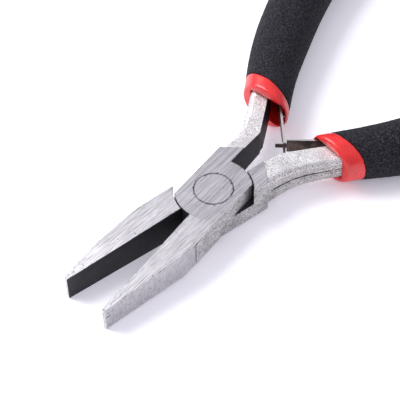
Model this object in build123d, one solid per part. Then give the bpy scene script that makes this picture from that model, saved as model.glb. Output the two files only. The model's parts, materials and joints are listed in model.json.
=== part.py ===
from build123d import *
import math
import os

# Spring-loaded flat nose pliers with a lap joint, in millimetres.
# Row frame: +X points along the nose, +Z is up, and the origin is on the pivot axis,
# on the flat underside of the joint.
# Lever frame: the same axes with z = 0 at the mid-plane of the joint. Each lever is drawn in it,
# closed, with its jaw on +Y, its handle on -Y and its joint plate on top.
# The lower lever is then turned over about X. Both are one forging, but each is ground by hand,
# so their jaws, joint plates and inner faces differ a little.

# Joint
THICKNESS = 8.0
HALF = THICKNESS / 2
SHOULDER_GAP = 0.25
LAP_GAP = 0.03
BAND = 5.6
REST_OPENING = 16.0

# Pivot rivet
RIVET_HEAD_R = 4.0
RIVET_SHANK_R = 2.6
RIVET_CONE = 1.6
RUNNING_GAP = 0.04

# Jaw
NOSE = 35.5
TIP_HALF = 3.05
JAW_GAP = 0.05
FACET_START = 13.2
FACET_STEP = 0.15
FACET_BEND_R = 25.0
HEAD_CORNER_R = 0.8
TAPER_START = 7.0
BAND_BEVEL_HIGH = 1.8
BAND_BEVEL_WIDE = 1.2
BEVEL_AT_BEND = 0.8
BEVEL_AT_TIP = 0.3
FORGED_CORNER_R = 1.3
FORGED_START_Y = 3.0

# Handle root and tang, as plan outlines in the lever frame
HEAD_REAR_OUTER = (-9.6, -BAND)
HEAD_REAR_X = -12.4
SPRING_SEAT = (-36.0, -10.39)
TANG_INNER_REAR = [(-46.0, -15.3), (-58.0, -18.9), (-70.0, -20.9)]
TANG_OUTER = [
    (-70.0, -23.4), (-58.0, -21.8), (-46.0, -18.3), (-36.0, -14.2), (-27.0, -10.2),
    (-21.0, -7.35), (-17.0, -5.85), (-13.5, -5.3), (-8.0, -5.3),
]
TANG_HEIGHTS = [(-5.0, 3.9), (-11.0, 3.75), (-19.0, 3.2), (-26.0, 2.95), (-36.0, 2.5), (-70.0, 2.0)]
TANG_ROUND = 1.3
PARTING_PROUD = 0.12
PARTING_HALF = 0.2
PARTING_RANGE = (-23.9, -11.0)
PARTING_REACH = (-15.3, -3.3)

# The inner side of the shank behind the knee leans out towards the underside: its outline there,
# and three points of its leaning face
SKIN = [(-19.6, -1.85), (-25.0, -4.35), (-29.0, -6.5), (-29.0, -8.2), (-19.0, -3.0)]
SKIN_FACE = ((-19.4, -2.35, 3.3), (-26.2, -5.65, 3.0), (-24.9, -4.35, -3.0))

# What differs between the levers: the radius of the joint plate, the jaw's outer side from the
# tip to the band, the inner side from the joint to the knee, the skin's first corner, and which
# of its own sides is the underside of the pliers
LEVERS = {
    "upper": {
        "plate_r": 7.9,
        "jaw": [(NOSE, 0.75), (15.2, BAND - FACET_STEP)],
        "inner": [(-6.0, -1.4), (-18.1, -1.5)],
        "skin_start": (-18.6, -1.8),
        "under": -1,
    },
    "lower": {
        "plate_r": 7.15,
        "jaw": [(NOSE, 0.9), (26.0, 3.7), (15.0, BAND)],
        "inner": [(-6.0, -0.62), (-16.3, -0.5), (-17.8, -1.4)],
        "skin_start": (-16.3, -0.5),
        "under": 1,
    },
}

# Handle: stations of the centre line with the half width and half height of the grip
STATIONS = [
    (-20.0, -3.2, 5.2, 5.1),
    (-25.0, -5.6, 5.3, 5.3),
    (-30.0, -7.95, 5.2, 5.5),
    (-36.0, -11.0, 5.5, 5.9),
    (-43.0, -14.0, 6.0, 6.2),
    (-54.0, -17.8, 6.3, 6.5),
    (-66.0, -20.8, 6.4, 6.6),
    (-78.0, -22.4, 6.3, 6.5),
    (-88.0, -22.4, 5.8, 6.1),
    (-91.5, -22.0, 5.3, 5.6),
]
END_ROUND = 2.4
COLLAR_FRONT = ((-25.4, 0.0), (-26.0, -10.8))
FOAM_FRONT = ((-28.2, -2.0), (-29.2, -11.0))
FOAM_REAR = ((-86.0, -15.0), (-86.6, -30.0))
COLLAR_ROUND = 0.7
FOAM_WALL = 1.2
FOAM_ROUND = 0.35
# Each grip is pushed on by hand, so the two stand a little differently along their handles
GRIP_SLIDE = {"upper": -0.95, "lower": 0.35}
FIT_GAP = 0.05
# The pocket for the leaf spring in the sleeve's mouth, from its rear round to its front
MOUTH = [(-45.0, -15.89), (-45.0, -10.79), (-37.5, -8.19), (-21.4, 2.2), (-21.4, -7.0)]
MOUTH_HALF = 3.3
COLLAR_WALL = 0.38
CORE_WALL = 0.15

# Leaf springs
LEAF_THICKNESS = 0.45
LEAF_HALF = 1.8
LEAF_ANGLE = 40.0
BLADE_REACH = 20.28
BLADE_TAIL = 0.95
SLOT_HALF = 0.95
SLOT_SPAN = (-0.6, 0.8)
TONGUE_HALF = 0.6
TONGUE_REACH = 1.86
SHOULDER_SETBACK = 0.5
PAD_LENGTH = 7.5
FLEX_GAP = 0.1
SPRING_RIVET_R = 0.9
SPRING_RIVET_HEAD_R = 1.5
SPRING_RIVET_HEAD = 0.7
SPRING_RIVET_AT = 4.2
SPRING_RIVET_GRIP = 2.9
SPRING_HOLE_DEPTH = 6.0
PAD_HOLE_HEIGHT = 1.0

OVERSIZE = 200.0
TOLERANCE = 1e-3


def prism(face, low, high):
    """The face, drawn on z = 0, as a prism from z = low to z = high."""
    return Pos(0, 0, low) * extrude(face, amount=high - low, dir=(0, 0, 1))


def keep_side(body, plane):
    """What lies on the negative side of the plane, as a grinding wheel leaves it."""
    return body - plane.location * Pos(0, 0, OVERSIZE / 2) * Box(OVERSIZE, OVERSIZE, OVERSIZE)


def plane_through(a, b, c, outside):
    """The plane through three points, with its normal towards the point outside."""
    a, b, c = Vector(*a), Vector(*b), Vector(*c)
    normal = (b - a).cross(c - a)
    if normal.dot(Vector(*outside) - a) < 0:
        normal = normal * -1
    return Plane(origin=a, x_dir=b - a, z_dir=normal)


def upright_plane(line, outside):
    """The upright plane over a line in plan, with its normal towards the point outside."""
    (ax, ay), (bx, by) = line
    return plane_through((ax, ay, 0), (bx, by, 0), (ax, ay, 1), (*outside, 0))


def jaw_height(x):
    """Half the height of the jaw at x, from the joint's to the tip's."""
    share = max(0.0, (x - TAPER_START) / (NOSE - TAPER_START))
    return HALF + (TIP_HALF - HALF) * share


def jaw_plan(outer_side):
    """Plan of the jaw: a flat inner face, and an outer side that curves into its long taper."""
    face = Polygon((0, JAW_GAP), (NOSE, JAW_GAP), *outer_side, (0, outer_side[-1][1]), align=None)
    bends = [v for v in face.vertices() if 0 < v.X < NOSE - TOLERANCE]
    return fillet(bends, FACET_BEND_R)


def forged_side():
    """The skin of the forging left on the jaw's outer side, behind the ground facet."""
    outline = Polygon(
        (0, FORGED_START_Y), (FACET_START, FORGED_START_Y), (FACET_START, BAND), (0, BAND), align=None,
    )
    block = prism(outline, -HALF, HALF)
    corners = [e for e in block.edges().filter_by(Axis.Y) if abs(e.center().X - FACET_START) < TOLERANCE]
    return fillet(corners, FORGED_CORNER_R)


def tang_plan(grow=0.0, side="upper"):
    """Plan of the shank and the tang, grown on both sides by grow."""
    inner = LEVERS[side]["inner"] + [SPRING_SEAT] + TANG_INNER_REAR
    inner = [(x, y + grow) for x, y in inner]
    outer = [(x, y - grow) for x, y in TANG_OUTER]
    edges = Polyline(*inner) + Line(inner[-1], outer[0]) + Spline(*outer) + Line(outer[-1], inner[0])
    return make_face(edges)


def tang_profile(grow=0.0):
    """Side profile of the shank and the tang, as a slab across the handle."""
    top = [(x, z + grow) for x, z in TANG_HEIGHTS]
    bottom = [(x, -z) for x, z in reversed(top)]
    edges = Spline(*top) + Line(top[-1], bottom[0]) + Spline(*bottom) + Line(bottom[-1], top[0])
    return extrude(Plane.XZ * make_face(edges), amount=OVERSIZE / 2, both=True)


def tang(side):
    """The forged shank and its tang, rounded along the outer side, with the forging's parting line."""
    body = prism(tang_plan(side=side), -HALF, HALF) & tang_profile()
    outer_edges = body.edges().sort_by(SortBy.LENGTH)[-2:]
    body = fillet(outer_edges, TANG_ROUND)
    first, last = PARTING_RANGE
    low, high = PARTING_REACH
    window = prism(Polygon((first, low), (last, low), (last, high), (first, high), align=None), -HALF, HALF)
    flash = Pos(0, -PARTING_PROUD, 0) * prism(tang_plan(side=side), -PARTING_HALF, PARTING_HALF)
    return body + (flash & window) + skin(side)


def skin(side):
    """The forged skin on the shank's inner side, which leans out towards the underside."""
    body = prism(Polygon(LEVERS[side]["skin_start"], *SKIN, align=None), -HALF, HALF) & tang_profile()
    return keep_side(body, plane_through(*SKIN_FACE, (0, OVERSIZE, 0)))


def head_plan(side):
    """Plan of the full-height root of the handle, beside the joint."""
    inner_y = LEVERS[side]["inner"][0][1]
    face = Polygon((0, inner_y), (HEAD_REAR_X, inner_y), HEAD_REAR_OUTER, (0, -BAND), align=None)
    corner = [v for v in face.vertices() if abs(v.X - HEAD_REAR_OUTER[0]) < TOLERANCE]
    return fillet(corner, HEAD_CORNER_R)


def grind(body, side):
    """Grinds the tapered top and bottom of the jaw and the bevels along its outer underside."""
    for face in (1, -1):
        start = (TAPER_START, 0, face * HALF)
        end = (NOSE, 0, face * TIP_HALF)
        across = (TAPER_START, 1, face * HALF)
        body = keep_side(body, plane_through(start, end, across, (0, 0, face * OVERSIZE)))
    under = LEVERS[side]["under"]
    tip_width = LEVERS[side]["jaw"][0][1]
    bend_x, bend_y = LEVERS[side]["jaw"][-1]
    bend_z = jaw_height(bend_x)
    below = (NOSE, OVERSIZE, under * OVERSIZE)
    taper_bevel = plane_through(
        (NOSE, tip_width, under * (TIP_HALF - BEVEL_AT_TIP)),
        (bend_x, bend_y, under * (bend_z - BEVEL_AT_BEND)),
        (bend_x, bend_y - BEVEL_AT_BEND, under * bend_z),
        below,
    )
    band_bevel = plane_through(
        (0, BAND, under * (HALF - BAND_BEVEL_HIGH)),
        (1, BAND, under * (HALF - BAND_BEVEL_HIGH)),
        (0, BAND - BAND_BEVEL_WIDE, under * HALF),
        below,
    )
    return keep_side(keep_side(body, taper_bevel), band_bevel)


def rivet_profile(grow=0.0):
    """Half section of the pivot rivet: a shank between two countersunk heads."""
    return Polygon(
        (0, -HALF), (RIVET_HEAD_R + grow, -HALF), (RIVET_SHANK_R + grow, RIVET_CONE - HALF),
        (RIVET_SHANK_R + grow, HALF - RIVET_CONE), (RIVET_HEAD_R + grow, HALF), (0, HALF), align=None,
    )


def rivet():
    """The pivot rivet, peened into its countersinks and ground flush."""
    return revolve(Plane.XZ * rivet_profile(), Axis.Z)


def lever(side):
    """One forging: jaw, half-thickness joint plate, root, shank and tang."""
    other_side = "lower" if side == "upper" else "upper"
    plate_r = LEVERS[side]["plate_r"]
    other_r = LEVERS[other_side]["plate_r"]
    shoulder = Circle(plate_r) & Rectangle(2 * plate_r, 2 * BAND)
    head = prism(head_plan(side), -HALF, HALF)
    body = prism(jaw_plan(LEVERS[side]["jaw"]), -HALF, HALF) + forged_side() + head
    body += tang(side)
    body = grind(body, side)
    body -= Pos(0, 0, -HALF / 2) * Cylinder(other_r + SHOULDER_GAP, HALF + 2 * LAP_GAP)
    body -= Pos(0, 0, HALF / 2) * Cylinder(plate_r, HALF)
    body += prism(shoulder, LAP_GAP, HALF)
    body -= revolve(Plane.XZ * rivet_profile(RUNNING_GAP), Axis.Z)
    return body - spring_rivet_hole()


def grip_loft(shrink=0.0):
    """The handle's oval body along its bowed centre line, smaller all round by shrink."""
    sections = []
    for index, (x, y, wide, high) in enumerate(STATIONS):
        before = STATIONS[max(index - 1, 0)]
        after = STATIONS[min(index + 1, len(STATIONS) - 1)]
        along_line = Vector(after[0] - before[0], after[1] - before[1], 0)
        across = along_line.cross(Vector(0, 0, 1))
        section_plane = Plane(origin=(x, y, 0), x_dir=across, z_dir=along_line)
        sections.append(section_plane * Ellipse(wide - shrink, high - shrink))
    return loft(sections)


def behind(body, line):
    """What lies behind the upright plane over a line in plan."""
    return keep_side(body, upright_plane(line, (OVERSIZE, 0)))


def ahead(body, line):
    """What lies ahead of the upright plane over a line in plan."""
    return keep_side(body, upright_plane(line, (-OVERSIZE, 0)))


def slid(line, slide):
    """A line in plan, moved along X by slide."""
    return tuple((x + slide, y) for x, y in line)


def mouth(slide):
    """The pocket in the sleeve's mouth that gives the leaf spring room, beside the tang."""
    pocket = prism(Polygon(*MOUTH, align=None), -MOUTH_HALF, MOUTH_HALF)
    in_collar = ahead(pocket & grip_loft(COLLAR_WALL), slid(FOAM_FRONT, slide))
    return in_collar + (pocket & grip_loft(FOAM_WALL + CORE_WALL))


def handle_body(slide):
    """The whole outside of the handle, from the collar's mouth to the rounded rear end."""
    full = grip_loft()
    rear = full.edges().sort_by(Axis.X)[:2]
    line = slid(COLLAR_FRONT, slide)
    full = behind(fillet(rear, END_ROUND), line)
    front = upright_plane(line, (OVERSIZE, 0))
    rim = [e for e in full.edges() if abs(front.to_local_coords(e.center()).Z) < TOLERANCE]
    return fillet(rim, COLLAR_ROUND)


def foam_space(slide):
    """The groove that the sleeve leaves for the foam grip."""
    wide = behind(grip_loft(-FOAM_WALL), slid(FOAM_FRONT, slide))
    return ahead(wide, slid(FOAM_REAR, slide)) - grip_loft(FOAM_WALL)


def sleeve(side):
    """The dipped sleeve: a thick collar, a thinner body under the foam and a closed end."""
    slide = GRIP_SLIDE[side]
    body = handle_body(slide) - foam_space(slide)
    body -= prism(tang_plan(FIT_GAP), -HALF, HALF) & tang_profile(FIT_GAP)
    body -= skin(side)
    return body - mouth(slide)


def foam_grip(side):
    """The foam grip: a tube pushed over the sleeve, behind the collar."""
    slide = GRIP_SLIDE[side]
    tube = behind(grip_loft(), slid(FOAM_FRONT, slide - FIT_GAP))
    tube = ahead(tube, slid(FOAM_REAR, slide + FIT_GAP))
    tube = fillet(tube.edges(), FOAM_ROUND)
    return tube - grip_loft(FOAM_WALL - FIT_GAP)


def seat_frame():
    """The frame of the spring's seat: +X forward along the tang's inner face, +Y out of it, +Z up."""
    x, y = SPRING_SEAT
    rear_x, rear_y = TANG_INNER_REAR[0]
    return Plane(origin=(x, y, 0), x_dir=(x - rear_x, y - rear_y, 0), z_dir=(0, 0, 1))


def spring_rivet_line(radius, low, high):
    """A cylinder on the spring rivet's axis, between two heights over the tang's inner face."""
    rod = Rot(-90, 0, 0) * Cylinder(radius, high - low)
    return seat_frame().location * Pos(-SPRING_RIVET_AT, (low + high) / 2, 0) * rod


def spring_rivet_hole():
    """The hole for the spring rivet through the tang."""
    return spring_rivet_line(SPRING_RIVET_R + RUNNING_GAP, -SPRING_HOLE_DEPTH, PAD_HOLE_HEIGHT)


def spring_rivet():
    """The small rivet that holds a leaf spring's root on the tang."""
    base = FIT_GAP + LEAF_THICKNESS + RUNNING_GAP
    top = base + SPRING_RIVET_HEAD
    head = Rot(-90, 0, 0) * Cone(SPRING_RIVET_HEAD_R, SPRING_RIVET_R, SPRING_RIVET_HEAD)
    head = seat_frame().location * Pos(-SPRING_RIVET_AT, (base + top) / 2, 0) * head
    return spring_rivet_line(SPRING_RIVET_R, -SPRING_RIVET_GRIP, base) + head


def leaf_frame():
    """The frame of a leaf's blade: its origin at the bend, +X along the blade, +Z up."""
    bend = seat_frame().from_local_coords(Vector(0, FIT_GAP + LEAF_THICKNESS / 2, 0))
    angle = math.radians(LEAF_ANGLE)
    return Plane(origin=bend, x_dir=(math.cos(angle), math.sin(angle), 0), z_dir=(0, 0, 1))


def leaf_root():
    """The flat root of a leaf spring, riveted to the tang's inner face."""
    front = -(LEAF_THICKNESS / 2 + FLEX_GAP)
    pad = Box(PAD_LENGTH + front, LEAF_THICKNESS, 2 * LEAF_HALF)
    pad = seat_frame().location * Pos((front - PAD_LENGTH) / 2, FIT_GAP + LEAF_THICKNESS / 2, 0) * pad
    return pad - spring_rivet_line(SPRING_RIVET_R + RUNNING_GAP, -PAD_HOLE_HEIGHT, PAD_HOLE_HEIGHT)


def strip(start, end, half_height):
    """A stretch of leaf along the blade, from start to end."""
    return Pos((start + end) / 2, 0, 0) * Box(end - start, LEAF_THICKNESS, 2 * half_height)


def slotted_blade():
    """The blade whose end has the slot that the other leaf's tongue slides in."""
    first, last = SLOT_SPAN
    blade = strip(0, BLADE_REACH + BLADE_TAIL, LEAF_HALF) + Cylinder(LEAF_THICKNESS / 2, 2 * LEAF_HALF)
    return leaf_frame().location * (blade - strip(BLADE_REACH + first, BLADE_REACH + last, SLOT_HALF))


def tongue_blade():
    """The blade that narrows to a tongue, whose shoulders lean on the slotted blade."""
    blade = strip(0, BLADE_REACH - SHOULDER_SETBACK, LEAF_HALF)
    tongue = strip(BLADE_REACH - SHOULDER_SETBACK, BLADE_REACH + TONGUE_REACH, TONGUE_HALF)
    return leaf_frame().location * (blade + tongue + Cylinder(LEAF_THICKNESS / 2, 2 * LEAF_HALF))


def main():
    """Builds every piece in the lever frame, puts it in the row frame and writes it."""
    upper = Pos(0, 0, HALF) * Rot(0, 0, REST_OPENING / 2)
    lower = Pos(0, 0, HALF) * Rot(0, 0, -REST_OPENING / 2) * Rot(180, 0, 0)
    pieces = {"pivot_rivet": upper * rivet()}
    pieces["slotted_leaf_blade"] = upper * slotted_blade()
    pieces["tongue_leaf_blade"] = lower * tongue_blade()
    for side, place in (("upper", upper), ("lower", lower)):
        pieces[side + "_lever"] = place * lever(side)
        pieces[side + "_sleeve"] = place * sleeve(side)
        pieces[side + "_foam_grip"] = place * foam_grip(side)
        pieces[side + "_leaf_root"] = place * leaf_root()
        pieces[side + "_spring_rivet"] = place * spring_rivet()
    os.makedirs("parts", exist_ok=True)
    for name, piece in pieces.items():
        export_step(piece, f"parts/{name}.step")
    hinge = leaf_frame().origin
    for name, place in (("slotted", upper), ("tongue", lower)):
        at = place * Location(hinge)
        print(name, "leaf bends about", tuple(round(value, 4) for value in at.position))


main()
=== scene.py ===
import json
import math

import bmesh
import bpy
from bpy.props import FloatProperty, FloatVectorProperty, PointerProperty, StringProperty
from bpy.types import Operator, Panel, PropertyGroup
from mathutils import Matrix, Vector


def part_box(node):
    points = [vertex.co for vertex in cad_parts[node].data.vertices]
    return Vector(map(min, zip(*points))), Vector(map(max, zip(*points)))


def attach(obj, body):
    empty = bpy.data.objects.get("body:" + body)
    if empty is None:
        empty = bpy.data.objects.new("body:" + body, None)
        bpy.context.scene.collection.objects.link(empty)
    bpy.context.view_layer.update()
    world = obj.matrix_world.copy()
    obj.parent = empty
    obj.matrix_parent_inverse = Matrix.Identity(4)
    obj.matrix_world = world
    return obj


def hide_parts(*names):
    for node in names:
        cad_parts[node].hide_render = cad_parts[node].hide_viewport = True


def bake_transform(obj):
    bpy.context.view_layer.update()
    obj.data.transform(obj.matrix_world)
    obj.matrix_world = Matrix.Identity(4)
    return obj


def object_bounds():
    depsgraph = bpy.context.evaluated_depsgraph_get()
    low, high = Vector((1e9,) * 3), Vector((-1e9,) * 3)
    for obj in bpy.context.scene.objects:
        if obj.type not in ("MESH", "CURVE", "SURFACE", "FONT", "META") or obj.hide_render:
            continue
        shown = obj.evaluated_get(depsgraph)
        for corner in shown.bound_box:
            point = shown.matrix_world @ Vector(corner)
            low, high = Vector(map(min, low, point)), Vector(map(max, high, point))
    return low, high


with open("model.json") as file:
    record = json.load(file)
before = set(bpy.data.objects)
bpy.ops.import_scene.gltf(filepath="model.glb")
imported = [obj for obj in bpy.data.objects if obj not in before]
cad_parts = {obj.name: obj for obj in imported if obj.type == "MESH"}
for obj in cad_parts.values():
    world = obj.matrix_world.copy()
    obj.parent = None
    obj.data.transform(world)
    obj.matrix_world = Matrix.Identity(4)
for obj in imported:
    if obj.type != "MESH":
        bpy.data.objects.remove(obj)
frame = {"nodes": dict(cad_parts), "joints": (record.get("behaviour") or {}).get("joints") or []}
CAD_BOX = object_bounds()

bl_info = {
    "name": "Flat nose pliers",
    "version": (1, 0, 0),
    "blender": (4, 5, 0),
    "location": "3D View > Sidebar > Pliers",
    "description": "Finishes of spring-opened flat nose pliers with foam grips",
    "category": "Object",
}

MM = 0.001
SIDES = ("upper", "lower")
LEVER_BODY = {side: f"{side}_lever_body" for side in SIDES}
BLADE_NODE = {"upper": "slotted_leaf_blade", "lower": "tongue_leaf_blade"}
JOINTS = {joint["name"]: joint for joint in frame["joints"]}
LEAF_JOINT = {"upper": "slotted_leaf_flex", "lower": "tongue_leaf_flex"}

# The levers stand open at rest by the pivot's travel, half of it each side of the nose line
OPENING = -JOINTS["pivot"]["range_deg"][0]
LEVER_TURN = {"upper": OPENING / 2, "lower": -OPENING / 2}
# The lower lever is the upper one turned over about the nose line
LEVER_SIDE = {"upper": 1.0, "lower": -1.0}
JOINT_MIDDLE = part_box("pivot_rivet")[1].z / 2
RIVET_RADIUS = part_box("pivot_rivet")[1].x

# Where a lever's finish changes, in mm in the lever's own frame
GROUND, FORGED, BLACK = range(3)
SHANK_START = -9.0
GROUND_FLAT_Z = 3.95
FACET_START = 12.9
TAPER_HALF = 3.0
FORGED_SIDE_Y = 4.3
# How far a face's normal leans to an axis before the face counts as facing it
SLIGHTLY, MOSTLY, SQUARELY = 0.3, 0.6, 0.9

# Sizes of the surface patterns, in mm
BELT_CLOUD = 5.0
PIT = 0.5
EDGE_BAND = 0.7
FORGED_CLOUD = 3.5
OXIDE_GRAIN = 0.3
OXIDE_CLOUD = 3.5
RUBBED_POINT = 0.42
ROLLING_LINE = 0.22
BLUING_CLOUD = 1.7
SHEAR_LINE = 0.2
DIP_CLOUD = 3.0
DIP_RIPPLE = 2.4
DUST = 0.35

# Meshes of the soft pieces and of the leaves, in mm
SLEEVE_VOXEL, SLEEVE_RELAX = 0.2, 1
FOAM_VOXEL, FOAM_RELAX = 0.28, 2
LEAF_CUT = 0.5
LEAF_CUTS = 39
WELD = 0.001

# Stage, in metres
FLOOR_HALF = 3.0
FLOOR_GAP = 0.05 * MM
TIP_SHARE = 0.97
SENSOR = 36.0
KEY_DISTANCE = 1.2
KEY_SIZE = 0.8


# ------------------------------------------------------- sizes and colours a user would change

class PliersSteel(PropertyGroup):
    """Finishes of the forged and ground steel."""

    ground: StringProperty(
        name="Ground steel", description="Belt-ground steel, as hex", default="#CFCDD0",
    )
    forged: StringProperty(
        name="Forged steel", description="Blasted forging skin, as hex", default="#F4F2F1",
    )
    black: StringProperty(
        name="Black oxide", description="Blackened inner faces, as hex", default="#15141A",
    )
    blued: StringProperty(
        name="Blued spring steel", description="Leaf springs, as hex", default="#463B37",
    )
    # Painted shade: the ground side facets are drawn darker than the flats by this share
    facet_tone: FloatProperty(
        name="Facet tone", description="Brightness of the ground side facets", default=0.86,
    )
    # Painted shade: upright forged faces are drawn darker by this share
    upright_shade_tone: FloatProperty(
        name="Upright shade", description="Brightness of upright forged faces", default=0.66,
    )
    grit_mm: FloatProperty(
        name="Grind line spacing", description="Spacing of the belt marks in mm", default=0.17,
    )
    belt_turn: FloatVectorProperty(
        name="Belt direction", description="Turn of the belt marks on the upper and the lower lever",
        size=2, default=(math.radians(-3.0), math.radians(-8.5)),
    )
    blast_mm: FloatProperty(
        name="Forging grain", description="Size of the forging's grain in mm", default=0.22,
    )


class PliersHandles(PropertyGroup):
    """Finishes of the sleeves and the grips."""

    vinyl: StringProperty(name="Vinyl", description="Dipped sleeves, as hex", default="#E2201E")
    vinyl_deep: StringProperty(
        name="Deep vinyl", description="Thicker places in the sleeves, as hex", default="#CE1315",
    )
    foam: StringProperty(name="Foam", description="Foam grips, as hex", default="#0B0A0D")
    foam_high_grain: StringProperty(
        name="Foam grain", description="High grains of the foam, as hex", default="#3B3A42",
    )
    speck: StringProperty(
        name="Speck", description="Pale specks in the foam, as hex", default="#9A98A0",
    )
    cell_mm: FloatProperty(
        name="Foam cell", description="Size of the foam's surface grain in mm", default=0.38,
    )
    grain_mm: FloatProperty(
        name="Foam relief", description="Height of the foam's grain in mm", default=0.07,
    )


class PliersStage(PropertyGroup):
    """Camera, floor and light."""

    azimuth: FloatProperty(
        name="Azimuth", description="Direction that the camera looks in, from +X",
        default=math.radians(-133.455), subtype="ANGLE",
    )
    elevation: FloatProperty(
        name="Elevation", description="How far the camera looks down",
        default=math.radians(51.04), subtype="ANGLE",
    )
    roll: FloatProperty(
        name="Roll", description="Camera roll", default=math.radians(-2.09), subtype="ANGLE",
    )
    place: FloatVectorProperty(
        name="Camera place", description="Where the camera stands",
        default=(0.13986, 0.14359, 0.25242), subtype="TRANSLATION", unit="LENGTH",
    )
    lens: FloatProperty(
        name="Lens", description="Focal length in mm on a 36 mm sensor", default=142.3,
    )
    paper: StringProperty(name="Floor", description="White paper, as hex", default="#FFFFFF")
    table_glow: StringProperty(
        name="Table glow", description="Tint of the light table, as hex", default="#EEEBFA",
    )
    table_strength: FloatProperty(
        name="Table strength", description="Strength of the light table", default=0.24,
    )
    daylight: FloatProperty(
        name="Surround", description="Strength of the white surround", default=0.85,
    )
    key_watts: FloatProperty(name="Key", description="Power of the key light in W", default=16.0)
    key_direction: FloatVectorProperty(
        name="Key direction", description="Direction of the key light from the joint",
        default=(0.18, -0.66, 0.73), subtype="DIRECTION",
    )


# ------------------------------------------------------- helpers

def colour(text):
    """An sRGB hex colour as a linear RGBA tuple."""
    values = [int(text[start:start + 2], 16) / 255 for start in (1, 3, 5)]
    linear = [v / 12.92 if v <= 0.04045 else ((v + 0.055) / 1.055) ** 2.4 for v in values]
    return (*linear, 1.0)


def add_node(tree, kind, *values, sockets=None, out=0, **settings):
    """Adds a node and returns one of its outputs.

    The values fill its first inputs in order, and sockets fills inputs by name or number; each is
    an output to link or a constant. The settings are the node's own.
    """
    node = tree.nodes.new(kind)
    for name, value in settings.items():
        setattr(node, name, value)
    for key, value in (*enumerate(values), *(sockets or {}).items()):
        if isinstance(value, bpy.types.NodeSocket):
            tree.links.new(value, node.inputs[key])
        else:
            node.inputs[key].default_value = value
    return node.outputs[out]


MATHS = "ShaderNodeMath"
VECTOR_MATHS = "ShaderNodeVectorMath"
RANGE = "ShaderNodeMapRange"
SEPARATE = "ShaderNodeSeparateXYZ"
MIX = "ShaderNodeMix"
# The factor, the two colours and the result of a mix of colours
SHARE, FIRST, SECOND, MIXED = 0, 6, 7, 2


def new_material(name):
    """An empty material with its tree and its shader."""
    material = bpy.data.materials.new(name)
    material.use_nodes = True
    tree = material.node_tree
    return material, tree, tree.nodes["Principled BSDF"]


def lever_coordinates(tree, side):
    """Object coordinates in the closed lever's own frame, in mm, with the joint's middle at z = 0."""
    place = add_node(tree, "ShaderNodeTexCoord", out="Object")
    centred = add_node(
        tree, VECTOR_MATHS, place, (0, 0, JOINT_MIDDLE), operation="SUBTRACT",
    )
    turned = add_node(
        tree, "ShaderNodeVectorRotate", rotation_type="Z_AXIS",
        sockets={"Vector": centred, "Angle": -math.radians(LEVER_TURN[side])},
    )
    over = LEVER_SIDE[side] / MM
    return add_node(tree, VECTOR_MATHS, turned, (1 / MM, over, over), operation="MULTIPLY")


def grain_of_size(tree, place, size, detail=2.0, rough=0.5, stretch=(1, 1, 1)):
    """A cloudy pattern whose grain has a size in mm, longer along an axis that stretch shrinks."""
    scaled = add_node(
        tree, VECTOR_MATHS, place, tuple(share / size for share in stretch), operation="MULTIPLY",
    )
    return add_node(
        tree, "ShaderNodeTexNoise", scaled, out="Fac",
        sockets={"Scale": 1.0, "Detail": detail, "Roughness": rough},
    )


def levelness(tree):
    """1 on faces that lie level, and 0 on upright ones."""
    normal = add_node(tree, "ShaderNodeNewGeometry", out="Normal")
    return add_node(tree, MATHS, add_node(tree, SEPARATE, normal, out="Z"), operation="ABSOLUTE")


def edge_masks(tree, width):
    """Two masks along sharp arrises: one that fades out within a width in mm, and one on the arris."""
    rounded = add_node(tree, "ShaderNodeBevel", width * MM, samples=8)
    true = add_node(tree, "ShaderNodeNewGeometry", out="Normal")
    along = add_node(tree, VECTOR_MATHS, rounded, true, operation="DOT_PRODUCT", out="Value")
    return add_node(tree, RANGE, along, 0.99, 0.86), add_node(tree, RANGE, along, 0.86, 0.76)


# ------------------------------------------------------- materials

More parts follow.
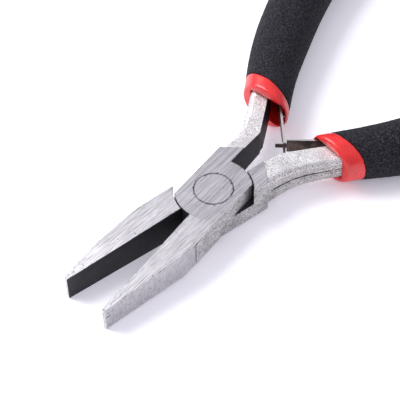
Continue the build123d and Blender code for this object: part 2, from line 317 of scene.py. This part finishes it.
def ground_steel(side):
    """Belt-ground carbon steel: satin, with straight lines along the lever.

    A dark line stands round the rivet where its head was ground flush with the plate. Dark pits
    that the belt missed gather along the arrises and at the tips. A thin dark line on each arris
    is painted shade, and the side facets are painted darker than the flats as painted shade.
    """
    steel = bpy.context.scene.pliers_steel
    material, tree, shader = new_material(f"ground_carbon_steel_{side}")
    place = lever_coordinates(tree, side)
    along = add_node(
        tree, "ShaderNodeVectorRotate", rotation_type="Z_AXIS",
        sockets={"Vector": place, "Angle": -steel.belt_turn[SIDES.index(side)]},
    )
    # Real belt marks are 0.05 mm apart; they are drawn as coarse as the view can show
    spacing = steel.grit_mm
    lines = grain_of_size(tree, along, spacing, rough=0.7, stretch=(0.018, 1, 1))
    tone = add_node(tree, RANGE, lines, 0.36, 0.64, 0.58, 1.18)
    cloud = grain_of_size(tree, place, BELT_CLOUD)
    cloud_tone = add_node(tree, RANGE, cloud, 0.3, 0.7, 0.92, 1.05)
    tone = add_node(tree, MATHS, tone, cloud_tone, operation="MULTIPLY")
    # Single deeper scratches, dark and thinly spread
    scratch = grain_of_size(tree, along, spacing * 1.2, detail=1.0, stretch=(0.05, 1, 1))
    scratch_tone = add_node(tree, RANGE, scratch, 0.62, 0.72, 1.0, 0.6)
    tone = add_node(tree, MATHS, tone, scratch_tone, operation="MULTIPLY")
    # The jaws' side facets come off a coarser belt, with coarser marks, and are painted darker than
    # the flats: painted shade on faces that are not level
    facet_marks = grain_of_size(tree, place, spacing, stretch=(0.3, 1, 0.15))
    facet_tone = add_node(tree, RANGE, facet_marks, 0.35, 0.65, 0.86, 1.1)
    facet_tone = add_node(tree, MATHS, facet_tone, steel.facet_tone, operation="MULTIPLY")
    on_facet = add_node(tree, RANGE, levelness(tree), 0.2, 0.9, 1.0, 0.0)
    tone = add_node(tree, MIX, on_facet, data_type="FLOAT", sockets={2: tone, 3: facet_tone})
    # The pit mask also holds the painted shade line on the arrises
    pit = belt_pits_and_arris_shade(tree, place)
    ring = rivet_outline(tree, place)
    tinted = add_node(
        tree, MIX, 1.0, data_type="RGBA", blend_type="MULTIPLY", out=MIXED,
        sockets={FIRST: colour(steel.ground), SECOND: tone},
    )
    # Pits and the painted shade line on the arrises are darkened to one dark colour
    depth = add_node(tree, MATHS, pit, 0.8, operation="MULTIPLY")
    pitted_and_shaded = add_node(
        tree, MIX, depth, data_type="RGBA", out=MIXED,
        sockets={FIRST: tinted, SECOND: colour("#2A2728")},
    )
    ringed = add_node(
        tree, MIX, ring, data_type="RGBA", out=MIXED,
        sockets={FIRST: pitted_and_shaded, SECOND: colour("#1B191A")},
    )
    tree.links.new(ringed, shader.inputs["Base Color"])
    shader.inputs["Metallic"].default_value = 1.0
    roughness = add_node(tree, RANGE, lines, 0.3, 0.7, 0.4, 0.26)
    tree.links.new(roughness, shader.inputs["Roughness"])
    sunk = add_node(tree, MATHS, pit, ring, operation="MAXIMUM")
    sunk = add_node(tree, MATHS, sunk, 1.2, operation="MULTIPLY")
    height = add_node(tree, MATHS, lines, sunk, operation="SUBTRACT")
    bump = add_node(
        tree, "ShaderNodeBump", sockets={"Strength": 0.35, "Distance": 0.02 * MM, "Height": height},
    )
    tree.links.new(bump, shader.inputs["Normal"])
    return material


def belt_pits_and_arris_shade(tree, place):
    """Pits that the belt missed, and a painted shade line on each arris, as a mask: a few pits on the
    flats, more along arrises and at the tips.
    """
    edge, arris = edge_masks(tree, EDGE_BAND)
    tips = add_node(tree, RANGE, add_node(tree, SEPARATE, place, out="X"), 27.0, 35.0, 0.0, 0.5)
    edge = add_node(tree, MATHS, edge, tips, operation="MAXIMUM")
    pits = grain_of_size(tree, place, PIT, rough=0.6, stretch=(0.6, 1, 1))
    sparse = add_node(tree, RANGE, pits, 0.68, 0.72)
    crowded = add_node(tree, RANGE, pits, 0.56, 0.62)
    crowded = add_node(tree, MATHS, crowded, edge, operation="MULTIPLY")
    pit = add_node(tree, MATHS, sparse, crowded, operation="MAXIMUM")
    # A thin dark line on each arris: painted shade
    arris_shade = add_node(tree, MATHS, arris, 0.45, operation="MULTIPLY")
    return add_node(tree, MATHS, pit, arris_shade, operation="MAXIMUM")


def rivet_outline(tree, place):
    """The thin broken line round the rivet's head, with nicks beside it, as a mask."""
    level = add_node(tree, VECTOR_MATHS, place, (1, 1, 0), operation="MULTIPLY")
    radius = add_node(tree, VECTOR_MATHS, level, operation="LENGTH", out="Value")
    off = add_node(tree, MATHS, radius, RIVET_RADIUS / MM + 0.02, operation="SUBTRACT")
    off = add_node(tree, MATHS, off, operation="ABSOLUTE")
    broken = add_node(tree, RANGE, grain_of_size(tree, place, 1.6), 0.36, 0.6, 0.35, 1.0)
    line = add_node(tree, RANGE, off, 0.05, 0.13, 1.0, 0.0)
    line = add_node(tree, MATHS, line, broken, operation="MULTIPLY")
    nicks = add_node(tree, RANGE, grain_of_size(tree, place, 0.5), 0.55, 0.62)
    beside = add_node(tree, RANGE, off, 0.12, 0.4, 1.0, 0.0)
    nicks = add_node(tree, MATHS, nicks, beside, operation="MULTIPLY")
    return add_node(tree, MATHS, line, nicks, operation="MAXIMUM")


def forged_steel(side):
    """Blasted forging skin: bright flat grains beside dark pits, which gives it a sparkle."""
    steel = bpy.context.scene.pliers_steel
    material, tree, shader = new_material(f"blasted_forged_steel_{side}")
    place = lever_coordinates(tree, side)
    grain = grain_of_size(tree, place, steel.blast_mm, detail=3.0, rough=0.7)
    dents = grain_of_size(tree, place, steel.blast_mm * 3.0, rough=0.55)
    tone = add_node(tree, RANGE, grain, 0.36, 0.6, 0.5, 1.16)
    cloud = grain_of_size(tree, place, FORGED_CLOUD)
    cloud_tone = add_node(tree, RANGE, cloud, 0.3, 0.6, 0.85, 1.08)
    tone = add_node(tree, MATHS, tone, cloud_tone, operation="MULTIPLY")
    # Upright faces are painted darker than level ones, and their pits darker too: painted shade, set
    # by the face's normal
    level = levelness(tree)
    upright_shade_tone = add_node(tree, RANGE, level, 0.1, 0.95, steel.upright_shade_tone, 1.0)
    tone = add_node(tree, MATHS, tone, upright_shade_tone, operation="MULTIPLY")
    pits = grain_of_size(tree, place, steel.blast_mm * 1.3, detail=3.0, rough=0.7)
    pit = add_node(tree, RANGE, pits, 0.55, 0.63)
    # Painted shade: the pits are drawn darker on upright faces than on level ones
    depth = add_node(tree, RANGE, level, 0.75, 0.98, 0.85, 0.45)
    depth = add_node(tree, MATHS, pit, depth, operation="MULTIPLY")
    tinted = add_node(
        tree, MIX, 1.0, data_type="RGBA", blend_type="MULTIPLY", out=MIXED,
        sockets={FIRST: colour(steel.forged), SECOND: tone},
    )
    pitted_and_shaded = add_node(
        tree, MIX, depth, data_type="RGBA", out=MIXED,
        sockets={FIRST: tinted, SECOND: colour("#3A3634")},
    )
    seam = add_node(tree, MATHS, parting_line(tree, place), 0.95, operation="MULTIPLY")
    seamed = add_node(
        tree, MIX, seam, data_type="RGBA", out=MIXED,
        sockets={FIRST: pitted_and_shaded, SECOND: colour("#24211F")},
    )
    tree.links.new(seamed, shader.inputs["Base Color"])
    shader.inputs["Metallic"].default_value = 1.0
    roughness = add_node(tree, RANGE, grain, 0.35, 0.65, 0.55, 0.38)
    tree.links.new(roughness, shader.inputs["Roughness"])
    height = add_node(tree, MATHS, grain, 0.5, dents, operation="MULTIPLY_ADD")
    sunk = add_node(tree, MATHS, pit, 0.7, operation="MULTIPLY")
    height = add_node(tree, MATHS, height, sunk, operation="SUBTRACT")
    bump = add_node(
        tree, "ShaderNodeBump", sockets={"Strength": 0.8, "Distance": 0.1 * MM, "Height": height},
    )
    tree.links.new(bump, shader.inputs["Normal"])
    return material


def parting_line(tree, place):
    """The dark lines beside the parting ridge on the shank's outer side, as a mask."""
    height = add_node(tree, SEPARATE, place, out="Z")
    height = add_node(tree, MATHS, height, operation="ABSOLUTE")
    off = add_node(tree, MATHS, height, 0.3, operation="SUBTRACT")
    off = add_node(tree, MATHS, off, operation="ABSOLUTE")
    line = add_node(tree, RANGE, off, 0.06, 0.2, 1.0, 0.0)
    broken = add_node(tree, RANGE, grain_of_size(tree, place, 1.4), 0.35, 0.55, 0.3, 1.0)
    line = add_node(tree, MATHS, line, broken, operation="MULTIPLY")
    behind = add_node(tree, SEPARATE, place, out="X")
    behind = add_node(tree, RANGE, behind, -11.5, -10.5, 1.0, 0.0)
    outer = add_node(tree, RANGE, add_node(tree, SEPARATE, place, out="Y"), -2.6, -2.9)
    where = add_node(tree, MATHS, behind, outer, operation="MULTIPLY")
    return add_node(tree, MATHS, line, where, operation="MULTIPLY")


def black_oxide(side):
    """Hot blackened steel: a matt dark conversion coat, faintly grained, with a few rubbed points."""
    steel = bpy.context.scene.pliers_steel
    material, tree, shader = new_material(f"black_oxide_steel_{side}")
    place = lever_coordinates(tree, side)
    grain = grain_of_size(tree, place, OXIDE_GRAIN, detail=3.0, rough=0.6)
    cloud = add_node(tree, RANGE, grain_of_size(tree, place, OXIDE_CLOUD), 0.35, 0.7)
    coat = add_node(
        tree, MIX, cloud, data_type="RGBA", out=MIXED,
        sockets={FIRST: colour(steel.black), SECOND: colour("#201F26")},
    )
    points = grain_of_size(tree, place, RUBBED_POINT, rough=0.7)
    rubbed = add_node(tree, RANGE, points, 0.735, 0.77, 0.0, 0.7)
    worn = add_node(
        tree, MIX, rubbed, data_type="RGBA", out=MIXED,
        sockets={FIRST: coat, SECOND: colour("#8D8A90")},
    )
    tree.links.new(worn, shader.inputs["Base Color"])
    roughness = add_node(tree, RANGE, grain, 0.3, 0.7, 0.5, 0.68)
    tree.links.new(roughness, shader.inputs["Roughness"])
    bump = add_node(
        tree, "ShaderNodeBump", sockets={"Strength": 0.4, "Distance": 0.03 * MM, "Height": grain},
    )
    tree.links.new(bump, shader.inputs["Normal"])
    return material


def blued_spring_steel(side):
    """Blued spring steel: brown-black mill faces, with rolling lines and rubbed patches."""
    steel = bpy.context.scene.pliers_steel
    material, tree, shader = new_material(f"blued_spring_steel_{side}")
    place = lever_coordinates(tree, side)
    lines = grain_of_size(tree, place, ROLLING_LINE, detail=3.0, rough=0.6, stretch=(1, 1, 0.15))
    cloud = grain_of_size(tree, place, BLUING_CLOUD, detail=3.0, rough=0.6)
    patches = add_node(
        tree, MIX, add_node(tree, RANGE, cloud, 0.4, 0.7), data_type="RGBA", out=MIXED,
        sockets={FIRST: colour(steel.blued), SECOND: colour("#7C6E68")},
    )
    rolled = add_node(
        tree, MIX, add_node(tree, RANGE, lines, 0.5, 0.75, 0.0, 0.5), data_type="RGBA", out=MIXED,
        sockets={FIRST: patches, SECOND: colour("#1C1716")},
    )
    tree.links.new(rolled, shader.inputs["Base Color"])
    shader.inputs["Metallic"].default_value = 1.0
    roughness = add_node(tree, RANGE, lines, 0.3, 0.7, 0.34, 0.5)
    tree.links.new(roughness, shader.inputs["Roughness"])
    bump = add_node(
        tree, "ShaderNodeBump", sockets={"Strength": 0.3, "Distance": 0.02 * MM, "Height": lines},
    )
    tree.links.new(bump, shader.inputs["Normal"])
    return material


def sheared_edge(side):
    """Sheared spring strip: a bright torn edge, with fine lines across."""
    material, tree, shader = new_material(f"sheared_spring_edge_{side}")
    place = lever_coordinates(tree, side)
    lines = grain_of_size(tree, place, SHEAR_LINE, rough=0.6)
    torn = add_node(
        tree, MIX, add_node(tree, RANGE, lines, 0.35, 0.7), data_type="RGBA", out=MIXED,
        sockets={FIRST: colour("#F2F0EE"), SECOND: colour("#A8A3A0")},
    )
    tree.links.new(torn, shader.inputs["Base Color"])
    shader.inputs["Metallic"].default_value = 1.0
    roughness = add_node(tree, RANGE, lines, 0.3, 0.7, 0.25, 0.4)
    tree.links.new(roughness, shader.inputs["Roughness"])
    return material


def dipped_vinyl(side):
    """Dipped plasticised vinyl: glossy, a little soft under the skin, with slow dip ripples."""
    handles = bpy.context.scene.pliers_handles
    material, tree, shader = new_material(f"dipped_red_vinyl_{side}")
    place = lever_coordinates(tree, side)
    cloud = grain_of_size(tree, place, DIP_CLOUD, detail=3.0)
    red = add_node(
        tree, MIX, add_node(tree, RANGE, cloud, 0.35, 0.7), data_type="RGBA", out=MIXED,
        sockets={FIRST: colour(handles.vinyl), SECOND: colour(handles.vinyl_deep)},
    )
    tree.links.new(red, shader.inputs["Base Color"])
    dust = grain_of_size(tree, place, DUST, detail=3.0, rough=0.7)
    roughness = add_node(tree, RANGE, dust, 0.35, 0.7, 0.26, 0.36)
    tree.links.new(roughness, shader.inputs["Roughness"])
    shader.inputs["IOR"].default_value = 1.55
    shader.inputs["Specular IOR Level"].default_value = 0.6
    shader.inputs["Subsurface Weight"].default_value = 0.15
    shader.inputs["Subsurface Radius"].default_value = (1.0, 0.12, 0.08)
    shader.inputs["Subsurface Scale"].default_value = 0.8 * MM
    ripple = grain_of_size(tree, place, DIP_RIPPLE)
    height = add_node(tree, MATHS, dust, 0.08, ripple, operation="MULTIPLY_ADD")
    bump = add_node(
        tree, "ShaderNodeBump", sockets={"Strength": 0.3, "Distance": 0.12 * MM, "Height": height},
    )
    tree.links.new(bump, shader.inputs["Normal"])
    return material


def closed_cell_foam(side):
    """Closed-cell rubber foam, cut and ground: matt black, with open cells and pale specks."""
    handles = bpy.context.scene.pliers_handles
    material, tree, shader = new_material(f"ground_rubber_foam_{side}")
    place = lever_coordinates(tree, side)
    grain = grain_of_size(tree, place, handles.cell_mm, detail=4.0, rough=0.8)
    # Lighter on the raised grains of the same pattern that sets the relief
    rubber = add_node(
        tree, MIX, add_node(tree, RANGE, grain, 0.45, 0.63), data_type="RGBA", out=MIXED,
        sockets={FIRST: colour(handles.foam), SECOND: colour(handles.foam_high_grain)},
    )
    # The specks are dust in single open cells, thinly spread
    specks = grain_of_size(tree, place, handles.cell_mm * 0.55, detail=1.0)
    fleck = add_node(tree, RANGE, specks, 0.715, 0.76, 0.0, 0.55)
    dusty = add_node(
        tree, MIX, fleck, data_type="RGBA", out=MIXED,
        sockets={FIRST: rubber, SECOND: colour(handles.speck)},
    )
    tree.links.new(dusty, shader.inputs["Base Color"])
    shader.inputs["Roughness"].default_value = 0.9
    shader.inputs["IOR"].default_value = 1.5
    shader.inputs["Specular IOR Level"].default_value = 0.25
    bump = add_node(
        tree, "ShaderNodeBump", sockets={"Strength": 0.9, "Distance": 0.16 * MM, "Height": grain},
    )
    tree.links.new(bump, shader.inputs["Normal"])
    return material


def white_paper():
    """Seamless white paper: matt, with a barely visible tooth."""
    stage = bpy.context.scene.pliers_stage
    material, tree, shader = new_material("seamless_white_paper")
    place = add_node(tree, "ShaderNodeTexCoord", out="Object")
    tooth = add_node(
        tree, "ShaderNodeTexNoise", place, out="Fac", sockets={"Scale": 900.0, "Detail": 2.0},
    )
    white = add_node(
        tree, MIX, add_node(tree, RANGE, tooth, 0.3, 0.7), data_type="RGBA", out=MIXED,
        sockets={FIRST: colour(stage.paper), SECOND: colour("#FCFCFD")},
    )
    tree.links.new(white, shader.inputs["Base Color"])
    shader.inputs["Roughness"].default_value = 0.9
    shader.inputs["Specular IOR Level"].default_value = 0.2
    # A light table: the paper is lit a little from below, so shadows stay pale
    shader.inputs["Emission Color"].default_value = colour(stage.table_glow)
    shader.inputs["Emission Strength"].default_value = stage.table_strength
    return material


# ------------------------------------------------------- pieces

def turned_to_lever(vector, side):
    """A vector of the row frame, turned into the closed lever's own frame."""
    turned = Matrix.Rotation(-math.radians(LEVER_TURN[side]), 3, "Z") @ vector
    over = LEVER_SIDE[side]
    return Vector((turned.x, turned.y * over, turned.z * over))


def finish_lever(side):
    """Gives each face of a lever the finish that its place has, and its spring rivet a forged one."""
    ground, forged = ground_steel(side), forged_steel(side)
    mesh = frame["nodes"][f"{side}_lever"].data
    mesh.materials.clear()
    for material in (ground, forged, black_oxide(side)):
        mesh.materials.append(material)
    middle = Vector((0, 0, JOINT_MIDDLE))
    for face in mesh.polygons:
        at = turned_to_lever(face.center - middle, side) / MM
        face.material_index = lever_finish(at, turned_to_lever(face.normal, side))
    rivets = {f"{side}_spring_rivet": forged}
    if side == "upper":
        # The pivot rivet is ground flush in one pass with the upper plate
        rivets["pivot_rivet"] = ground
    for name, material in rivets.items():
        rivet = frame["nodes"][name].data
        rivet.materials.clear()
        rivet.materials.append(material)


def lever_finish(at, normal):
    """The finish of a lever's face, from its centre in mm and its normal, in the lever's frame."""
    level = abs(normal.z)
    if at.x < SHANK_START and abs(at.z) < GROUND_FLAT_Z:
        return BLACK if normal.y > MOSTLY and level < SLIGHTLY else FORGED
    if level > SQUARELY and abs(at.z) > TAPER_HALF:
        return GROUND
    if at.x > FACET_START and (normal.y > SLIGHTLY or normal.x > MOSTLY):
        return GROUND
    if abs(at.y) > FORGED_SIDE_Y and abs(normal.y) > SLIGHTLY:
        return FORGED
    return BLACK


def copy_of(node, name):
    """A copy of a CAD node's mesh as a new piece of its own."""
    piece = bpy.data.objects.new(name, frame["nodes"][node].data.copy())
    piece.data.materials.clear()
    bpy.context.scene.collection.objects.link(piece)
    return piece


def apply_modifiers(piece):
    """Replaces a piece's mesh with its modified one."""
    depsgraph = bpy.context.evaluated_depsgraph_get()
    mesh = bpy.data.meshes.new_from_object(piece.evaluated_get(depsgraph))
    piece.modifiers.clear()
    piece.data = mesh


def remesh(piece, voxel, relax_steps):
    """Rebuilds a piece's mesh as even quads of a size in mm and relaxes it, as soft material lies."""
    even = piece.modifiers.new("even", "REMESH")
    even.mode = "VOXEL"
    even.voxel_size = voxel * MM
    even.use_smooth_shade = True
    relax = piece.modifiers.new("relax", "SMOOTH")
    relax.factor = 0.5
    relax.iterations = relax_steps
    apply_modifiers(piece)


def make_sleeve(side):
    """The dipped sleeve, with the soft lips and thick collar that dipping leaves."""
    piece = copy_of(f"{side}_sleeve", f"dipped_sleeve_{side}")
    remesh(piece, SLEEVE_VOXEL, SLEEVE_RELAX)
    piece.data.materials.append(dipped_vinyl(side))
    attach(piece, LEVER_BODY[side])
    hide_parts(f"{side}_sleeve")


def make_foam_grip(side):
    """The foam grip, with the grain of its cut surface as real relief."""
    handles = bpy.context.scene.pliers_handles
    piece = copy_of(f"{side}_foam_grip", f"foam_grip_{side}")
    remesh(piece, FOAM_VOXEL, FOAM_RELAX)
    texture = bpy.data.textures.new(f"foam_grain_{side}", "CLOUDS")
    texture.noise_scale = handles.cell_mm * 1.4 * MM
    texture.noise_depth = 2
    grain = piece.modifiers.new("grain", "DISPLACE")
    grain.texture = texture
    grain.texture_coords = "LOCAL"
    grain.strength = handles.grain_mm * 2 * MM
    grain.mid_level = 0.5
    apply_modifiers(piece)
    piece.data.materials.append(closed_cell_foam(side))
    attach(piece, LEVER_BODY[side])
    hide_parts(f"{side}_foam_grip")


def make_leaf_spring(side):
    """A leaf spring in one strip, from its riveted root to its slot or tongue, bending at the root."""
    leaf = copy_of(f"{side}_leaf_root", f"leaf_spring_{side}")
    bend = Vector(JOINTS[LEAF_JOINT[side]]["pos_m"])
    along = blade_direction(side, bend)
    leaf.data = strip_mesh(side, bend, along)
    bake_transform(leaf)
    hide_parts(f"{side}_leaf_root", BLADE_NODE[side])


def blade_direction(side, bend):
    """The direction of a leaf's blade at rest, from its bend to its tip."""
    low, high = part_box(BLADE_NODE[side])
    tip_y = high.y if side == "upper" else low.y
    return Vector((high.x - bend.x, tip_y - bend.y, 0)).normalized()


def strip_mesh(side, bend, along):
    """Joins the root's and the blade's meshes and cuts the strip across into short lengths."""
    mesh = bmesh.new()
    for node in (f"{side}_leaf_root", BLADE_NODE[side]):
        mesh.from_mesh(frame["nodes"][node].data)
    bmesh.ops.remove_doubles(mesh, verts=mesh.verts, dist=WELD * MM)
    bmesh.ops.dissolve_limit(
        mesh, angle_limit=math.radians(1), verts=mesh.verts, edges=mesh.edges,
    )
    for step in range(1, LEAF_CUTS + 1):
        bmesh.ops.bisect_plane(
            mesh, geom=mesh.verts[:] + mesh.edges[:] + mesh.faces[:],
            plane_co=bend + along * step * LEAF_CUT * MM, plane_no=along,
        )
    strip = bpy.data.meshes.new(f"leaf_spring_{side}")
    mesh.to_mesh(strip)
    mesh.free()
    strip.materials.append(blued_spring_steel(side))
    strip.materials.append(sheared_edge(side))
    for face in strip.polygons:
        face.material_index = int(abs(face.normal.z) > MOSTLY)
    return strip


# ------------------------------------------------------- stage

def rest_plane():
    """The lowest point of the jaw tips, and the slope down from it to the underside of the grips."""
    lever = frame["nodes"]["lower_lever"].data
    tips = [v.co for v in lever.vertices if v.co.x > CAD_BOX[1][0] * TIP_SHARE]
    tip = min(tips, key=lambda co: co.z)
    grip = frame["nodes"]["lower_foam_grip"].data
    return tip, max((tip.z - v.co.z) / (tip.x - v.co.x) for v in grip.vertices)


def add_floor():
    """A sheet of white paper under the pliers, at the tilt that they rest at."""
    tip, slope = rest_plane()
    half = FLOOR_HALF
    corners = [(-half, -half, 0), (half, -half, 0), (half, half, 0), (-half, half, 0)]
    mesh = bpy.data.meshes.new("floor")
    mesh.from_pydata(corners, [], [(0, 1, 2, 3)])
    mesh.materials.append(white_paper())
    floor = bpy.data.objects.new("floor", mesh)
    bpy.context.scene.collection.objects.link(floor)
    floor.location = (tip.x, 0, tip.z - FLOOR_GAP)
    floor.rotation_euler = (0, -math.atan(slope), 0)


def camera_axes(stage):
    """The camera's right, up and backward directions."""
    level = math.cos(stage.elevation)
    forward = Vector((
        math.cos(stage.azimuth) * level, math.sin(stage.azimuth) * level, -math.sin(stage.elevation),
    ))
    right = Vector((math.sin(stage.azimuth), -math.cos(stage.azimuth), 0))
    up = right.cross(forward)
    turned_right = right * math.cos(stage.roll) + up * math.sin(stage.roll)
    turned_up = up * math.cos(stage.roll) - right * math.sin(stage.roll)
    return turned_right, turned_up, -forward


def add_camera(stage):
    """A long lens, looking down across the joint from the nose's side."""
    data = bpy.data.cameras.new("camera")
    data.sensor_width = SENSOR
    data.lens = stage.lens
    data.clip_start = 0.01
    data.clip_end = 20.0
    camera = bpy.data.objects.new("camera", data)
    bpy.context.scene.collection.objects.link(camera)
    turn = Matrix(camera_axes(stage)).transposed().to_4x4()
    camera.matrix_world = Matrix.Translation(stage.place) @ turn
    bpy.context.scene.camera = camera


def add_key(stage):
    """A big square softbox behind the pliers, facing the joint."""
    data = bpy.data.lights.new("key", "AREA")
    data.shape = "SQUARE"
    data.size = KEY_SIZE
    data.energy = stage.key_watts
    light = bpy.data.objects.new("key", data)
    bpy.context.scene.collection.objects.link(light)
    light.location = Vector(stage.key_direction).normalized() * KEY_DISTANCE
    light.rotation_euler = (-light.location).to_track_quat("-Z", "Y").to_euler()


def add_surround(stage):
    """A white surround that darkens towards the horizon."""
    world = bpy.data.worlds.new("surround")
    world.use_nodes = True
    tree = world.node_tree
    direction = add_node(tree, "ShaderNodeTexCoord", out="Generated")
    height = add_node(tree, RANGE, add_node(tree, SEPARATE, direction, out="Z"), 0.0, 0.9)
    shade = add_node(
        tree, MIX, height, data_type="RGBA", out=MIXED,
        sockets={FIRST: colour("#A5A3B4"), SECOND: colour("#F7F5FF")},
    )
    background = tree.nodes["Background"]
    tree.links.new(shade, background.inputs["Color"])
    background.inputs["Strength"].default_value = stage.daylight
    bpy.context.scene.world = world


# ------------------------------------------------------- operators and panel

class PLIERS_OT_levers(Operator):
    """Finish the two levers and the rivets"""

    bl_idname = "pliers.levers"
    bl_label = "Levers and rivets"

    def execute(self, context):
        for side in SIDES:
            finish_lever(side)
        return {"FINISHED"}


class PLIERS_OT_springs(Operator):
    """Make the two leaf springs"""

    bl_idname = "pliers.springs"
    bl_label = "Leaf springs"

    def execute(self, context):
        for side in SIDES:
            make_leaf_spring(side)
        return {"FINISHED"}


class PLIERS_OT_sleeves(Operator):
    """Make the two dipped sleeves"""

    bl_idname = "pliers.sleeves"
    bl_label = "Dipped sleeves"

    def execute(self, context):
        for side in SIDES:
            make_sleeve(side)
        return {"FINISHED"}


class PLIERS_OT_grips(Operator):
    """Make the two foam grips"""

    bl_idname = "pliers.grips"
    bl_label = "Foam grips"

    def execute(self, context):
        for side in SIDES:
            make_foam_grip(side)
        return {"FINISHED"}


class PLIERS_OT_stage(Operator):
    """Make the floor, the lights and the camera"""

    bl_idname = "pliers.stage"
    bl_label = "Stage"

    def execute(self, context):
        stage = context.scene.pliers_stage
        add_floor()
        add_camera(stage)
        add_key(stage)
        add_surround(stage)
        context.scene.view_settings.view_transform = "Standard"
        return {"FINISHED"}


OPERATORS = (
    PLIERS_OT_levers, PLIERS_OT_springs, PLIERS_OT_sleeves, PLIERS_OT_grips, PLIERS_OT_stage,
)
GROUPS = {
    "pliers_steel": PliersSteel, "pliers_handles": PliersHandles, "pliers_stage": PliersStage,
}


class PLIERS_PT_panel(Panel):
    """Lists the pliers' pieces, and the sizes and colours of their finishes"""

    bl_idname = "PLIERS_PT_panel"
    bl_label = "Flat nose pliers"
    bl_space_type = "VIEW_3D"
    bl_region_type = "UI"
    bl_category = "Pliers"

    def draw(self, context):
        for operator in OPERATORS:
            self.layout.operator(operator.bl_idname)
        for group in GROUPS:
            box = self.layout.box()
            for name in GROUPS[group].__annotations__:
                box.prop(getattr(context.scene, group), name)


def register():
    """Registers the classes and hangs the property groups on the scene."""
    for name, group in GROUPS.items():
        bpy.utils.register_class(group)
        setattr(bpy.types.Scene, name, PointerProperty(type=group))
    for panel_class in (*OPERATORS, PLIERS_PT_panel):
        bpy.utils.register_class(panel_class)


def unregister():
    """Takes back what register did."""
    for panel_class in (PLIERS_PT_panel, *reversed(OPERATORS)):
        bpy.utils.unregister_class(panel_class)
    for name, group in GROUPS.items():
        delattr(bpy.types.Scene, name)
        bpy.utils.unregister_class(group)


def main():
    """Makes every piece in order."""
    register()
    bpy.ops.pliers.levers()
    bpy.ops.pliers.springs()
    bpy.ops.pliers.sleeves()
    bpy.ops.pliers.grips()
    bpy.ops.pliers.stage()


if __name__ == "__main__":
    main()
